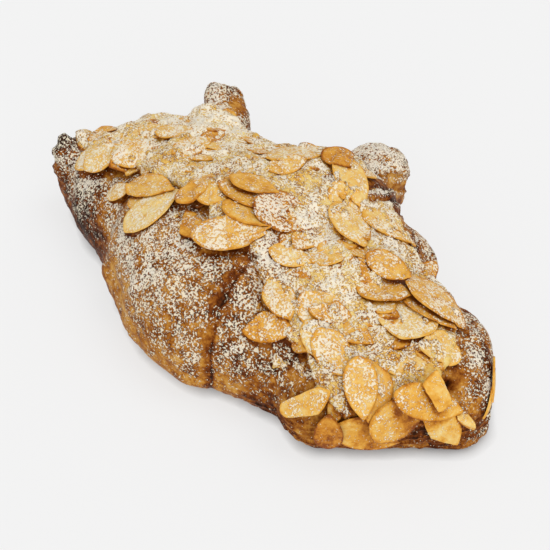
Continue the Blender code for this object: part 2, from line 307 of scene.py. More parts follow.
def bakedFinish(recipe, tone, sugar, look):
    # a browned surface, with painted shade in its cracks and round the specks of sugar that lie on it
    mottle = recipe.speckle(*look["mottle"])
    fine = recipe.speckle(*look["fine"])
    # painted shade where little reaches from above: in hollows, crevices and under the slices
    paintedHollowShade = 1 - recipe.painted("open").between(0.0, 0.75)
    tone = tone + (mottle - 0.5) * look["mottled"] + (fine - 0.5) * look["grained"]
    tone = tone + sugar.shade * look["gapShade"] + paintedHollowShade * look["crackShade"]
    colour = recipe.blend(sugar.cover * look["white"], recipe.ramp(tone, *look["stops"]), sugar.tint)
    relief = recipe.bump(fine * look["grain"] + sugar.cover, look["relief"])
    return recipe.finish(
        colour, sugar.cover * look["chalk"] + look["roughness"], relief, Specular_IOR_Level=look["gloss"],
    )


crustLook = {
    "voxel": 0.7, "swell": 0.3, "softening": 5,
    "seamTop": (10.2, -25.0), "seamBend": 0.0117,   # x and y where the seam leaves the cream
    # ridges along the seam: how far beside it, width and height
    "rope": (-2.3, 1.3, 0.7), "groove": (0.2, 0.9, 0.8), "fold": (-5.4, 0.8, 0.4),
    "flakeStep": 0.5, "flakeSpacing": 4.6,
    "endStep": 0.9, "endSpacing": 2.1,              # open layers under the broad end
    "ledgeStep": 1.3, "ledgeSpacing": 4.4, "ledgeSink": 1.0, "lobeCap": 0.7,    # and under the far lobe
    "armSink": 0.35, "tipCracks": 0.6,
    "wrinkle": 0.30, "grit": 0.14, "lump": 0.7, "streak": 0.35,
    "pit": (70, -9, 22), "pitDepth": 3.2, "pitRadius": 2.0,
    "rolls": (                                      # rolled layers: centre, spacing, reach, height
        (-50, 31, 33, 3.4, 16, 0.55), (5, 51, 14, 4.2, 20, 0.6), (-80, -22, 22, 3.8, 18, 0.5),
        (44, 14, 22, 4.0, 14, 0.45),
    ),
    "bulges": (                                     # corners that stand out and hollows
        (-55, 24, 32, 3.5, 1.4), (-44, 27.5, 29, 5, 0.7), (-77, -20, 27, 3.5, 1.3), (66, 13.5, 21, 5, 0.8),
        (-33, -40, 14, 4.5, 1.5), (-23, -46, 17, 4, -1.2), (36, 23, 25, 8, -2.4), (24, 24, 30, 4, 1.0),
        (-20, 16, 36, 9, -1.8),
    ),
    "brown": {                                      # how baked it is, with painted shade at the seam and in the pit, and painted light from the floor at the foot
        "all": 0.41, "blotches": 0.17, "flakeEdges": 0.16, "wrinkles": 0.08, "streaks": 0.20,
        "seamShade": (-0.3, 1.5, 0.24), "seamBesideShade": (4.5, 3.2, 0.12), "seamShadowLine": (0.8, 0.5, 0.34),
        "rolls": 0.14, "endFace": 0.10, "endLines": 0.26, "lobeSide": -0.12, "ledges": 0.14, "pit": 0.9,
        "side": -0.04, "foot": -0.2,
    },
    "bakedAndShadedSpots": (                                 # darker patches: where the oven caught it, and painted shade in the hole beside the far bump and the notch behind the far lobe
        (-77, -21, 26, 9, 0.65), (-54, -31, 12, 12, 0.34), (-44, -36, 10, 9, 0.22),
        (-62, -28, 10, 12, 0.18), (24, -38, 24, 9, 0.10), (34, -41, 13, 11, 0.10), (2, -34, 34, 13, 0.04),
        (14, 30, 27, 8, 0.34), (10, 24, 32, 6, 0.3), (34, 18, 28, 9, 0.22), (26, 13, 33, 4, 0.5),
        (70, 4, 14, 14, 0.12), (71, -16, 8, 12, 0.06), (50, -38, 8, 12, -0.12), (66, -26, 7, 10, -0.05),
        (74, -12, 8, 8, 0.12), (-34, -42, 12, 9, 0.10), (-20, -46, 10, 12, 0.06), (36, -34, 26, 8, 0.10),
    ),
    "paleSpots": (
        (-46, 22, 33, 5, 0.10), (-24, -45, 17, 9, 0.16), (-12, -50, 14, 14, 0.14), (12, -48, 8, 12, 0.1),
        (70, -9, 22, 5, 0.4),
    ),
    "dust": {                                       # how much sugar it holds, and where it holds less
        "all": 0.38, "blotches": 0.14, "seam": (-0.3, 1.4, 0.8), "side": 0.26, "foot": 0.1,
        "ledges": 0.5, "pit": 0.9, "lowSide": 0.1,
    },
    "thickSugar": (
        (-2, 39, 30, 13, 0.22), (-45, 20, 31, 9, 0.3), (-20, -36, 34, 18, 0.08), (-56, -26, 22, 10, 0.2),
        (-58, -31, 14, 10, 0.12), (14, 26, 34, 4, 0.35), (69, 3, 22, 3, 0.4), (75, 2, 16.5, 3, 0.35),
        (27, 14, 34, 3, 0.6), (-75, -20, 27, 6, 0.16),
    ),
    "bareSpots": (
        (-54, -33, 10, 12, 0.22), (-44, -38, 8, 9, 0.12), (34, -41, 13, 12, 0.06), (-76, -21, 26, 6, 0.2),
        (71, -17, 7, 12, 0.6), (-44, 23.5, 32.5, 3.6, 0.9), (38, 12, 30, 8, 0.15),
        (50, -38, 8, 12, 0.3), (-31, -41, 16, 4, 0.3), (-22, -47, 17, 3, 0.25),
        (68, 6, 18, 12, 0.14), (34, -40, 20, 10, 0.08), (70, -9, 22, 5, 0.3),
    ),
    "finish": {
        "mottle": (3.2, 4, 0.62), "mottled": 1.5, "fine": (0.9, 3, 0.6), "grained": 0.8,
        "gapShade": 0.46, "crackShade": 0.2, "white": 0.85, "chalk": 0.4,
        "roughness": 0.45, "gloss": 0.05, "grain": 0.4, "relief": 0.16,
        "stops": (
            (0.0, (0.66, 0.38, 0.10)), (0.28, (0.50, 0.215, 0.030)), (0.5, (0.32, 0.105, 0.012)),
            (0.72, (0.15, 0.034, 0.004)), (1.0, (0.030, 0.008, 0.002)),
        ),
    },
}


def crustMaterial():
    recipe = Recipe("bakedCrust", (0.36, 0.14, 0.03))
    sugar = Powder(recipe, recipe.painted("dust"), hangs=-0.8, shelter=0.4)
    return bakedFinish(recipe, recipe.painted("brown"), sugar, crustLook["finish"])


def riseOf(x, y, z):
    # how high and how far back a place lies
    return 0.707 * z + 0.5 * (y - x)


def crest(across, place, width, tall):
    return tall * np.exp(-((across - place) / width) ** 2)


def crackedTip(x, y, z):
    # the burnt tip is squared off and cracked
    end = step(-70, -76, x) * step(-10, -14, y)
    cracks = np.sin(1.1 * y + 0.9 * z)
    return end * crustLook["tipCracks"] * np.sign(cracks) * step(0.1, 0.5, np.abs(cracks))


def crustRelief(points, normals):
    # height over the smooth dough, how baked it is and how much sugar it holds, at every point
    look = crustLook
    x, y, z = (points / mm).T
    wander = lumps(points, 16, 1)
    streaks = lumps(points, (9, 1.9, 1.9), 11) * step(30, 20, z)
    small = lumps(points, 5, 2)
    rise = riseOf(x, y, z)

    # the seam on the near side, with the rope of dough beside it
    topX, topY = look["seamTop"]
    across = x - topX - look["seamBend"] * np.maximum(topY - y, 0) ** 2 + 0.5 * small
    near = step(-23, -28, y)
    upper = step(14, 28, z)
    rope = crest(across, *look["rope"]) * (0.7 + 0.6 * lumps(points, 4, 3))
    groove = crest(across, *look["groove"]) * (0.4 + 0.6 * upper)
    fold = crest(across, *look["fold"]) * step(-0.1, 0.5, small)
    height = near * (rope * upper - groove - fold)

    # flaky steps in patches
    away = np.abs(x - 4) + 5.5 * wander + 1.2 * small
    saw = np.mod(away / look["flakeSpacing"], 1.0)
    patch = step(-0.05, 0.4, lumps(points, 13, 4)) * (1 - 0.6 * step(28, 36, z))
    height += look["flakeStep"] * patch * (saw ** 0.6 - 0.5)
    edge = patch * step(0.80, 0.97, saw)

    # open layers under the broad end and under the far lobe
    level = np.mod(z / look["endSpacing"] + 0.8 * wander + 0.35 * small, 1.0)
    endFace = step(50, 58, x * 0.79 - (y + 10) * 0.61 + 12) * step(17, 11, z)
    height += look["endStep"] * endFace * (level ** 0.7 - 0.5)
    lobeSide = step(35.8, 34.4, rise + 0.9 * small) * step(15, 19, y) * step(0, 4, x) * step(26, 20, x)
    ledge = np.mod(rise / look["ledgeSpacing"] + 0.5 * wander + 0.2 * small, 1.0)
    height += lobeSide * (look["ledgeStep"] * (ledge ** 0.6 - 0.5) - look["ledgeSink"])
    height += look["lobeCap"] * step(34.5, 35.8, rise + 0.9 * small) * step(18, 24, y) * step(-8, 0, x)
    facing = step(0.1, -0.5, normals[:, 1] + normals[:, 0])
    height -= look["armSink"] * step(-30, -55, x) * step(-8, -18, y) * facing

    # rolled layers round the horn, the lobe and the tip
    turns = np.zeros(len(points))
    for cx, cy, cz, spacing, reach, tall in look["rolls"]:
        away = np.linalg.norm(points / mm - (cx, cy, cz), axis=1) + 1.2 * small + 1.5 * wander
        turn = np.mod(away / spacing, 1.0)
        fade = step(reach, 0.5 * reach, away)
        height += tall * fade * (turn ** 0.5 - 0.6)
        turns += fade * step(0.85, 0.98, turn)
    height += crackedTip(x, y, z) + spots(points, look["bulges"])

    ridged = 1 - 2 * np.abs(lumps(points, 3.4, 5))
    height += look["wrinkle"] * (ridged - 0.5)
    height += look["lump"] * lumps(points, 9, 6) + look["streak"] * streaks
    height += look["grit"] * lumps(points, 1.3, 7)
    pit = np.exp(-(np.linalg.norm(points / mm - look["pit"], axis=1) / look["pitRadius"]) ** 2)
    height -= look["pitDepth"] * pit

    tone = look["brown"]
    brown = tone["all"] + tone["blotches"] * lumps(points, 11, 8, 3)
    brown += tone["flakeEdges"] * edge + tone["wrinkles"] * ridged * patch
    # painted shade in and beside the seam's groove
    brown += near * (crest(across, *tone["seamShade"]) + near * upper * crest(across, *tone["seamBesideShade"]))
    # a painted shadow line beside the groove
    brown += near * crest(across, *tone["seamShadowLine"])
    brown += spots(points, look["bakedAndShadedSpots"]) - spots(points, look["paleSpots"])
    brown += tone["rolls"] * turns
    brown += endFace * (tone["endLines"] * step(0.6, 0.95, level) + tone["endFace"])
    brown += lobeSide * (tone["ledges"] * step(0.7, 0.2, ledge) + tone["lobeSide"])
    # painted shade in the pit
    brown += tone["pit"] * pit + tone["streaks"] * streaks
    # paler low down; along the foot this is painted light from the floor
    brown += tone["side"] * step(20, 8, z) + tone["foot"] * step(9, 2, z) * step(-40, -20, x)

    less = look["dust"]
    dust = less["all"] + less["blotches"] * lumps(points, 12, 9, 2) + spots(points, look["thickSugar"])
    dust -= spots(points, look["bareSpots"]) + near * crest(across, *less["seam"])
    dust -= less["side"] * step(24, 5, z) * step(0, -20, y) + less["foot"] * step(4, 1, z)
    dust -= less["ledges"] * lobeSide * step(0.8, 0.4, ledge)
    dust -= less["pit"] * pit
    dust -= less["lowSide"] * step(24, 18, z) * step(-5, -14, x) * step(-10, -25, y)
    return height, brown, dust


def makeCrust():
    crust = mergedCopy("croissant", "bakedCrust")
    look = crustLook
    applyModifier(crust, "SUBSURF", levels=1, render_levels=1)
    applyModifier(crust, "REMESH", mode="VOXEL", voxel_size=look["voxel"] * mm)
    applyModifier(crust, "SMOOTH", factor=0.5, iterations=look["softening"])
    mesh = crust.data
    points, normals = pointsOf(mesh), normalsOf(mesh)
    height, brown, dust = crustRelief(points, normals)
    resting = step(0.3, 2.5, points[:, 2] / mm)
    points += normals * ((height + look["swell"]) * resting)[:, None] * mm
    points[:, 2] = np.maximum(points[:, 2], 0)
    putPoints(mesh, points)
    applyModifier(crust, "SMOOTH", factor=0.3, iterations=1)
    paint(mesh, "brown", brown)
    paint(mesh, "dust", dust)
    bpy.ops.object.shade_smooth()
    mesh.materials.clear()
    mesh.materials.append(crustMaterial())
    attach(crust, "root")
    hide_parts("croissant")
    return crust


crust = makeCrust()
dough = treeOf(crust.data)
print("crust", len(crust.data.polygons))


creamLook = {
    "voxel": 0.64, "sink": 1.0, "lump": 0.75,
    "drift": 0.36, "ripple": 0.45, "clot": 0.85, "grit": 0.22,      # its relief once the slices lie on it
    "creepMost": 2.2,                               # how far it climbs onto the slices
    "pit": (68.5, -8.0, 22.3), "pitDepth": 2.8, "pitRadius": 2.3,
    "mounds": (                                     # where it is heaped under the slices
        (-3, -9, 42, 15, 2.1), (-33, -22, 38, 12, 1.5), (39, -8, 34, 14, 1.6), (-60, -20, 31, 8, 1.0),
        (26, 14, 35, 8, 1.0), (40, -29, 32, 7, 1.0), (-20, 14, 38, 9, -2.0),
    ),
    "clearSpots": (                                 # slices it leaves clear
        (-25, -29, 38, 8, 0.5), (0, -15, 44, 11, 0.35), (43, 3, 33, 11, 0.3), (26, -35, 33, 6, 0.5),
        (-58, -20, 32, 9, 0.3), (-45, -8, 36, 12, 0.22), (-20, 0, 40, 10, 0.2), (-36, -14, 38, 8, 0.2),
        (-8, 12, 42, 8, 0.4), (2, 20, 42, 6, 0.4), (-30, -24, 41, 7, 0.3),
    ),
    "nearEdge": (                                   # its near edge: rise, then x + y there
        (-60, -26, -15, -12, -2, 12.5, 22), (60, 11, 7, 0, -6, -12.5, -30),
    ),
    "farHem": 22.5, "tipHem": 23, "lobeEdge": 31.5,     # and where it ends on the far side
    "toast": {"all": 0.38, "blotches": 0.2, "ripples": 0.14, "pit": 0.7},
    # toasted patches; the small ones are painted shadow pockets under the slices' edges
    "toastAndShadowSpots": (
        (10, -20, 41, 7, 0.34), (18, -24, 38, 6, 0.3), (22, -29, 35, 6, 0.25), (-50, -6, 31, 7, 0.2),
        (62, 6, 24, 10, 0.15), (52, -24, 14, 12, 0.2), (4, 20, 40, 12, 0.10),
        (-16, -22, 38, 10, 0.15), (22, -32, 30, 10, 0.16), (-66, -16, 26, 8, 0.15),
        (66, -20, 14, 8, 0.2), (-47.5, -14, 31, 3.2, 0.6), (-45, -0.5, 35, 2.6, 0.5), (-39, -3, 36, 2.4, 0.5),
        (-14.5, -23.5, 39, 3, 0.5), (-5, -14, 43, 3, 0.4), (-40, -22, 34, 2.6, 0.5), (-24, -24, 39, 2.6, 0.4),
        (6, 12, 42, 2.6, 0.4), (20, 8, 39, 2.4, 0.4), (33, -3, 37, 2.4, 0.4), (44, -14, 33, 2.4, 0.4),
    ),
    "paleSpots": ((-44, 8, 34, 20, 0.16), (-62, 0, 30, 12, 0.10), (24, -2, 36, 14, 0.12)),
    "dust": {"all": 0.48, "blotches": 0.16, "creep": 0.08, "pit": 0.6},
    "thickSugar": ((-44, 12, 33, 14, 0.2), (20, -10, 37, 10, 0.1)),
    "bareSpots": (
        (67, -10, 23, 7, 0.5), (60, -24, 12, 10, 0.5), (3, 4, 40, 8, 0.12), (-47.5, -14, 31, 3.2, 0.4),
        (-45, -0.5, 35, 2.6, 0.4), (-39, -3, 36, 2.4, 0.4), (-14.5, -23.5, 39, 3, 0.4),
        (-40, -22, 34, 2.6, 0.4),
    ),
    "finish": {
        "mottle": (3.4, 4, 0.6), "mottled": 1.7, "fine": (0.9, 3, 0.6), "grained": 0.8,
        "gapShade": 0.72, "crackShade": 0.52, "white": 0.90, "chalk": 0.35,
        "roughness": 0.5, "gloss": 0.07, "grain": 0.5, "relief": 0.16,
        "stops": (
            (0.0, (0.84, 0.66, 0.27)), (0.33, (0.78, 0.51, 0.13)), (0.58, (0.66, 0.32, 0.045)),
            (0.80, (0.38, 0.125, 0.013)), (1.0, (0.16, 0.038, 0.005)),
        ),
    },
}


def creamMaterial():
    recipe = Recipe("almondCream", (0.74, 0.47, 0.15))
    sugar = Powder(recipe, recipe.painted("dust"))
    return bakedFinish(recipe, recipe.painted("toast"), sugar, creamLook["finish"])


def bareDough(points):
    # where the cream stops short of the frame's and the crust shows
    look = creamLook
    x, y, z = (points / mm).T
    rise = riseOf(x, y, z)
    ragged = 3.5 * lumps(points, 9, 28) + 2 * lumps(points, 3, 29)
    besideLobe = (x + y > look["lobeEdge"] + 1.5 * lumps(points, 4, 27)) & (y > 12) & (x < 26)
    bare = besideLobe & (rise > 25.5) & (rise < 36)
    bare |= (y > 2) & (z < look["farHem"] + ragged)
    bare |= (x < -52) & (y - x > 46) & (z < look["tipHem"] + ragged)
    nearEdge = np.interp(rise, *look["nearEdge"]) + 1.5 * lumps(points, 4, 30)
    return bare | ((x + y < nearEdge) & (y < -18))


def makeCream():
    cream = mergedCopy("almond_cream", "almondCream")
    look = creamLook
    applyModifier(cream, "REMESH", mode="VOXEL", voxel_size=look["voxel"] * mm)
    applyModifier(cream, "SMOOTH", factor=0.5, iterations=5)
    mesh = cream.data
    points, normals = pointsOf(mesh), normalsOf(mesh)
    points += normals * (look["lump"] * lumps(points, 7, 21))[:, None] * mm
    points[:, 2] += spots(points, look["mounds"]) * step(0, 0.4, normals[:, 2]) * mm
    bare = bareDough(points)
    for i, p in enumerate(points):          # the underside goes just into the crust
        place, normal, face, gap = dough.find_nearest(Vector(p))
        if bare[i] or Vector(normals[i]).dot(normal) < -0.2 or (Vector(p) - place).dot(normal) < 0:
            points[i] = place - normal * look["sink"] * mm
    putPoints(mesh, points)
    pickOnly(cream)
    bpy.ops.object.shade_smooth()
    mesh.materials.clear()
    mesh.materials.append(creamMaterial())
    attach(cream, "root")
    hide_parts("almond_cream")
    return cream


def driftCream(heap):
    # once the slices lie on it, sugared cream creeps over their edges
    look, toasting, dusting = creamLook, creamLook["toast"], creamLook["dust"]
    mesh = cream.data
    points, normals = pointsOf(mesh), normalsOf(mesh)
    ridged = 1 - 2 * np.abs(lumps(points, 3.6, 22))
    height = look["drift"] + look["ripple"] * (ridged - 0.4) + look["clot"] * lumps(points, 2.8, 26, 2)
    height += look["grit"] * lumps(points, 1.2, 23)
    reach = np.linalg.norm(points / mm - look["pit"], axis=1)
    hollow = np.exp(-(reach / look["pitRadius"]) ** 2)
    height = height * step(0.0, 0.35, normals[:, 2]) - look["pitDepth"] * hollow
    gap = (heap.under(points) - points[:, 2]) / mm
    creep = lumps(points, 4.5, 31) + 0.35 * lumps(points, 1.6, 32) - spots(points, look["clearSpots"])
    creep = step(0.05, 0.33, creep) * step(0.2, 0.5, normals[:, 2]) * (gap < look["creepMost"])
    points += normals * height[:, None] * mm
    points[:, 2] += np.clip(gap + 0.25, 0, look["creepMost"]) * creep * mm
    putPoints(mesh, points)
    applyModifier(cream, "SMOOTH", factor=0.3, iterations=1)
    toast = toasting["all"] + toasting["blotches"] * lumps(points, 9, 24, 3) - toasting["ripples"] * ridged
    toast += spots(points, look["toastAndShadowSpots"]) - spots(points, look["paleSpots"])
    # painted shade in the pit
    toast += toasting["pit"] * hollow
    dust = dusting["all"] + dusting["blotches"] * lumps(points, 9, 25, 2)
    dust += spots(points, look["thickSugar"]) + dusting["creep"] * creep
    dust -= spots(points, look["bareSpots"]) + dusting["pit"] * hollow
    paint(mesh, "toast", toast)
    paint(mesh, "dust", dust)


cream = makeCream()
print("cream", len(cream.data.polygons))


class Heap:
    # the height of all that lies there so far, on a grid seen from above
    def __init__(self, pieces, pitch=0.5):
        self.low = np.array(cadLow[:2]) - 4 * mm
        self.pitch = pitch * mm
        span = (np.array(cadHigh[:2]) + 4 * mm - self.low) / self.pitch
        self.height = np.zeros(np.ceil(span).astype(int) + 1)
        for piece in pieces:
            self.add(piece.data)

    def add(self, mesh):
        tree = treeOf(mesh)
        points = pointsOf(mesh)
        first = np.maximum(((points.min(0)[:2] - self.low) / self.pitch).astype(int), 0)
        last = ((points.max(0)[:2] - self.low) / self.pitch).astype(int) + 2
        for i in range(first[0], min(last[0], self.height.shape[0])):
            for j in range(first[1], min(last[1], self.height.shape[1])):
                x, y = self.low + np.array((i, j)) * self.pitch
                hit = tree.ray_cast(Vector((x, y, 0.2)), Vector((0, 0, -1)))[0]
                if hit is not None:
                    self.height[i, j] = max(self.height[i, j], hit.z)

    def under(self, points):
        place = (points[:, :2] - self.low) / self.pitch
        limit = np.array(self.height.shape) - 2
        corner = np.clip(np.floor(place).astype(int), 0, limit)
        fx, fy = np.clip(place - corner, 0, 1).T
        i, j = corner.T
        h = self.height
        return (h[i, j] * (1 - fx) * (1 - fy) + h[i + 1, j] * fx * (1 - fy)
                + h[i, j + 1] * (1 - fx) * fy + h[i + 1, j + 1] * fx * fy)


sliceLook = {
    "around": 44, "thickness": 0.62,
    "plateRings": (0.22, 0.44, 0.63, 0.79, 0.90, 0.965),    # ring radii on a face
    "rimRings": ((0.99, 0.8), (1.0, 0.0), (0.99, -0.8)),    # radius, height
    "roughOutline": 0.018, "wave": 0.18, "point": 0.55, "heel": 0.36, "taper": 0.2, "cup": 0.3,
    "longer": 1.04, "wider": 1.06, "flatter": 0.9,  # against the frame's slices
    "lean": (0.05, 0.5),                            # how far the near rim lifts and the far rim sinks
    "cling": 0.35, "rest": -0.05,                   # how closely it follows what it lies on, and how high
    "stand": 0.3, "standMost": 0.6,                 # how far it stands up from there
    "clear": 0.25,                                  # between a hanging slice and the crust
    "toastAll": 0.06, "toastShare": 0.8, "rimToast": 0.22, "rimBare": 0.35,
    "hangingFrom": 39, "hungLater": 5,              # from this number on, they hang on the broad end's slope
    # how toasted and how dusted each one is, by its number
    "tones": {
        1: (0.22, 0.5), 2: (0.18, 0.5), 3: (0.35, 0.55), 4: (0.35, 0.6), 5: (0.35, 0.5), 6: (0.3, 0.5),
        7: (0.4, 0.55), 8: (0.12, 0.4), 9: (0.42, 0.35), 10: (0.45, 0.3), 11: (0.6, 0.25), 12: (0.75, 0.2),
        13: (0.45, 0.5), 14: (0.5, 0.12), 15: (0.45, 0.25), 16: (0.56, 0.25), 17: (0.58, 0.2), 18: (0.8, 0.5),
        19: (0.3, 0.5), 20: (0.4, 0.45), 21: (0.8, 0.15), 22: (0.3, 0.26), 23: (0.28, 0.42), 24: (0.3, 0.42),
        25: (0.65, 0.35), 26: (0.4, 0.5), 27: (0.4, 0.5), 28: (0.35, 0.5), 29: (0.25, 0.45), 30: (0.55, 0.45),
        31: (0.4, 0.5), 32: (0.36, 0.5), 33: (0.2, 0.45), 34: (0.24, 0.42), 35: (0.5, 0.4), 36: (0.54, 0.38),
        37: (0.5, 0.45), 38: (0.5, 0.34), 39: (0.34, 0.05), 40: (0.78, 0.0), 41: (0.4, 0.25), 42: (0.3, 0.05),
        43: (0.44, 0.2), 44: (0.42, 0.34), 45: (0.46, 0.3), 46: (0.56, 0.25), 47: (0.5, 0.0),
    },
    # straight breaks: the way each faces on the compass, and how far out it lies
    "broken": {
        12: ((200, 0.5),), 15: ((90, 0.75),), 21: ((30, 0.55),), 25: ((180, 0.5), (90, 0.7)), 29: ((0, 0.6),),
        30: ((180, 0.4),), 34: ((180, 0.7),), 39: ((100, 0.6), (350, 0.85)), 41: ((130, 0.5), (285, 0.7)),
        42: ((290, 0.5), (350, 0.55)), 45: ((130, 0.8),), 47: ((100, 0.3), (285, 0.6), (10, 0.8)),
    },
    # how much longer and wider some are than in the frame
    "regrown": {
        6: (0.85, 0.6), 24: (1.0, 0.85), 26: (1.0, 0.85), 27: (1.0, 0.85), 28: (1.0, 0.85), 30: (1.0, 0.8),
        32: (1.0, 0.85), 38: (0.92, 0.8), 39: (1.3, 1.25), 40: (1.1, 0.9), 42: (1.3, 1.2), 44: (0.92, 0.76),
        45: (1.15, 1.1), 47: (0.85, 1.1),
    },
    "later": {3: 1.0, 8: 2.5, 21: 2.0, 44: 1.0},    # laid later than their height says
    "proud": {35: 0.6, 37: 1.2, 38: 0.6},           # stand clear of what is below
    "finish": {
        "mottle": (3.0, 3, 0.55), "mottled": 0.9, "fine": (0.7, 3, 0.6), "grained": 0.5,
        "gapShade": 0.28, "crackShade": 0.5, "white": 0.84, "chalk": 0.3,
        "roughness": 0.42, "gloss": 0.10, "grain": 0.4, "relief": 0.14,
        "stops": (
            (0.0, (0.87, 0.73, 0.40)), (0.25, (0.83, 0.57, 0.19)), (0.5, (0.78, 0.405, 0.062)),
            (0.78, (0.57, 0.215, 0.018)), (1.0, (0.25, 0.062, 0.005)),
        ),
    },
}


def almondMaterial():
    look = sliceLook
    recipe = Recipe("toastedAlmond", (0.76, 0.47, 0.14))
    edge = recipe.painted("rim").between(0.84, 0.98)
    sugar = Powder(recipe, recipe.painted("dust") - edge * look["rimBare"])
    tone = recipe.painted("toast") * look["toastShare"] + look["toastAll"] + edge * look["rimToast"]
    return bakedFinish(recipe, tone, sugar, look["finish"])


def makeBlank():
    # a round plate with soft rims, shaped from a sphere's rings
    look = sliceLook
    rings = [(r, 1.0) for r in look["plateRings"]] + list(look["rimRings"])
    rings += [(r, -1.0) for r in reversed(look["plateRings"])]
    bpy.ops.mesh.primitive_uv_sphere_add(segments=look["around"], ring_count=len(rings) + 1, radius=1)
    blank = bpy.context.active_object
    mesh = blank.data
    points = pointsOf(mesh)
    rim = np.zeros(len(points))
    level = np.degrees(np.arccos(np.clip(points[:, 2], -1, 1))) * (len(rings) + 1) / 180
    for i, (point, ring) in enumerate(zip(points, np.rint(level).astype(int))):
        if 0 < ring <= len(rings):
            radius, height = rings[ring - 1]
            length = math.hypot(point[0], point[1])
            points[i] = (point[0] / length * radius, point[1] / length * radius, height)
            rim[i] = radius
        else:
            points[i] = (0, 0, math.copysign(1, point[2]))
    putPoints(mesh, points)
    paint(mesh, "rim", rim)
    bpy.ops.object.shade_smooth_by_angle(angle=math.radians(50))
    return blank


def shapeSlice(mesh, spec, place, seed, heap=None):
    # bends and trims a copy of the blank into one slice: spec in millimetres
    look = sliceLook
    dice = np.random.default_rng(seed)
    x, y, z = pointsOf(mesh).T
    turn = np.arctan2(y, x)
    ragged = 1 + sum(
        look["roughOutline"] * dice.uniform(0.2, 1) / (k ** 0.5) * np.cos(k * turn + dice.uniform(0, 6.3))
        for k in (2, 3, 5, 7, 11)
    )
    x, y = x * ragged, y * ragged
    y = y * (1 - look["taper"] * x)
    y = y * (1 - look["point"] * np.maximum(x, 0) ** 3 - look["heel"] * np.maximum(-x, 0) ** 5)
    for angle, cut in spec["broken"]:       # straight broken edges, out from the middle
        c, s = math.cos(math.radians(angle)), math.sin(math.radians(angle))
        along, side = x * c + y * s, y * c - x * s
        bite = cut + 0.012 * np.sin(side * 9 + dice.uniform(0, 6)) + 0.008 * np.sin(side * 23)
        along = np.where(along > bite, bite + 0.03 * (along - bite), along)
        x, y = along * c - side * s, along * s + side * c
    long, wide = x * spec["length"] / 2, y * spec["width"] / 2
    bend = -spec["curl"] * x * x - spec["cup"] * y * y + spec["twist"] * x * y
    wave = look["wave"] * np.sin(2.6 * x + dice.uniform(0, 6)) * np.cos(2.1 * y + dice.uniform(0, 6))
    up = bend + wave + z * look["thickness"] / 2
    flat = np.stack((long, wide, up, np.ones(len(x)) / mm), axis=1) * mm
    points = (flat @ np.array(place).T)[:, :3]
    if heap is None:
        points += clearOfCrust(points, x, y, z)
    else:
        settle(points, spec, place, heap)
    putPoints(mesh, points)
    paint(mesh, "toast", np.full(len(x), spec["toast"]))
    paint(mesh, "dust", np.full(len(x), spec["dust"]))


def settle(points, spec, place, heap):
    # lays a slice on what is there already, a little bent to it
    gap = points[:, 2] - heap.under(points)
    touch = np.percentile(gap, 12)
    cling = spec.get("cling", sliceLook["cling"])
    points[:, 2] -= cling * np.clip(gap - touch, -2 * mm, 4 * mm) + touch - spec["rest"] * mm
    drop = place.translation.z - points[:, 2].mean()
    points[:, 2] += np.clip(drop * spec.get("stand", 0), 0, sliceLook["standMost"] * mm)
    nearer = (points[:, 0] - points[:, 1]) / math.sqrt(2)
    nearer = (nearer - nearer.mean()) / (np.ptp(nearer) / 2)
    points[:, 2] += spec["lean"] * nearer * mm


def clearOfCrust(points, x, y, z):
    # how far each point of a hanging slice moves out, to bend over the crust without a dent
    push = np.zeros((len(points), 3))
    for i, p in enumerate(points):
        spot, normal, face, gap = dough.find_nearest(Vector(p))
        height = (Vector(p) - spot).dot(normal)
        need = (sliceLook["clear"] + sliceLook["thickness"] * (z[i] > 0)) * mm
        if abs(height) < 4 * mm and height < need:
            push[i] = np.array(normal) * (need - height)
    basis = np.stack((np.ones(len(x)), x, y, x * x, x * y, y * y), axis=1)
    smooth = basis @ np.linalg.lstsq(basis, push, rcond=None)[0]
    outward = push.sum(0) / max(np.linalg.norm(push.sum(0)), 1e-9)
    return smooth + outward * np.percentile((push - smooth) @ outward, 85)


def sliceFrame(nodeName):
    # where a frame slice lies: its place, size, curl, and which end is narrow
    piece = mergedCopy(nodeName, "measured")
    points = pointsOf(piece.data)
    bpy.data.objects.remove(piece, do_unlink=True)
    spread = np.linalg.eigh(np.cov((points - points.mean(0)).T))[1]
    along, side = Vector(spread[:, 2]), Vector(spread[:, 1])
    out = along.cross(side)
    if out.z < 0:
        side, out = -side, -out
    local = (points - points.mean(0)) @ np.array((along, side, out)).T
    for k in range(3):
        local[:, k] -= (local[:, k].max() + local[:, k].min()) / 2
    length, width = np.ptp(local[:, 0]) / mm, np.ptp(local[:, 1]) / mm
    ends = np.abs(local[:, 0]) > length * mm * 0.25
    if np.abs(local[ends, 1]) @ np.sign(local[ends, 0]) > 0:
        along, side = -along, -side
    u = local[:, 0] / (length * mm / 2)
    curl = -np.polyfit(u, local[:, 2] / mm, 2)[0]
    return turned(along, side, out, Vector(points.mean(0))), length, width, curl


